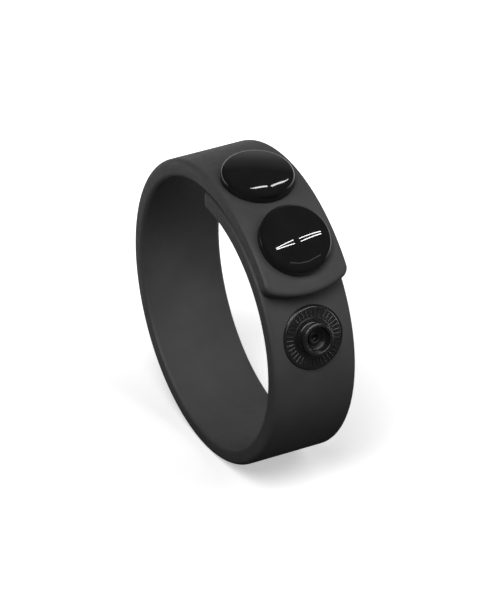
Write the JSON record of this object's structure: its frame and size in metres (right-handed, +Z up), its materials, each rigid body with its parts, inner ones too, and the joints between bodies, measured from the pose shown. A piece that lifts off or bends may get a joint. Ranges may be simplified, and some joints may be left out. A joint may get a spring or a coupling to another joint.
{
  "type": "wrist strap",
  "caption": "Static control wrist strap: a black rubber band closed into a loop by press studs, with a bare stud for the ground lead.",
  "frame": {"origin": "on the surface the strap stands on, below the middle of the whole strap", "axes": "+Y along the loop's axis, across the band; +Z up; the caps and the ground stud face +X and up"},
  "size_m": [0.0652, 0.0186, 0.068],
  "materials": {
    "band_rubber": "matt moulded conductive rubber",
    "snap_black": "gloss black lacquered brass",
    "cap_gloss": "high gloss black lacquer",
    "skin_rivet": "gloss black conductive plating",
    "spring_wire": "drawn spring wire"
  },
  "bodies": {
    "band": {"band": "band_rubber", "ground_stud": "snap_black", "ground_rivet": "skin_rivet", "lower_stud": "snap_black", "lower_rivet": "skin_rivet", "upper_stud": "snap_black", "upper_rivet": "skin_rivet", "upper_socket": "snap_black", "upper_spring_ring": "spring_wire", "upper_cap": "cap_gloss"},
    "tip": {"band_tip": "band_rubber", "lower_socket": "snap_black", "lower_spring_ring": "spring_wire", "lower_cap": "cap_gloss"}
  },
  "joints": [
    {"name": "tip_peel", "type": "hinge", "parent": "band", "child": "tip", "pos_m": [0.01288, 0, 0.06108], "axis": [0, -1, 0], "range_deg": [0, 34], "stiffness_Nm_per_rad": 0.15, "deforming": ["lower_spring_ring"]}
  ]
}
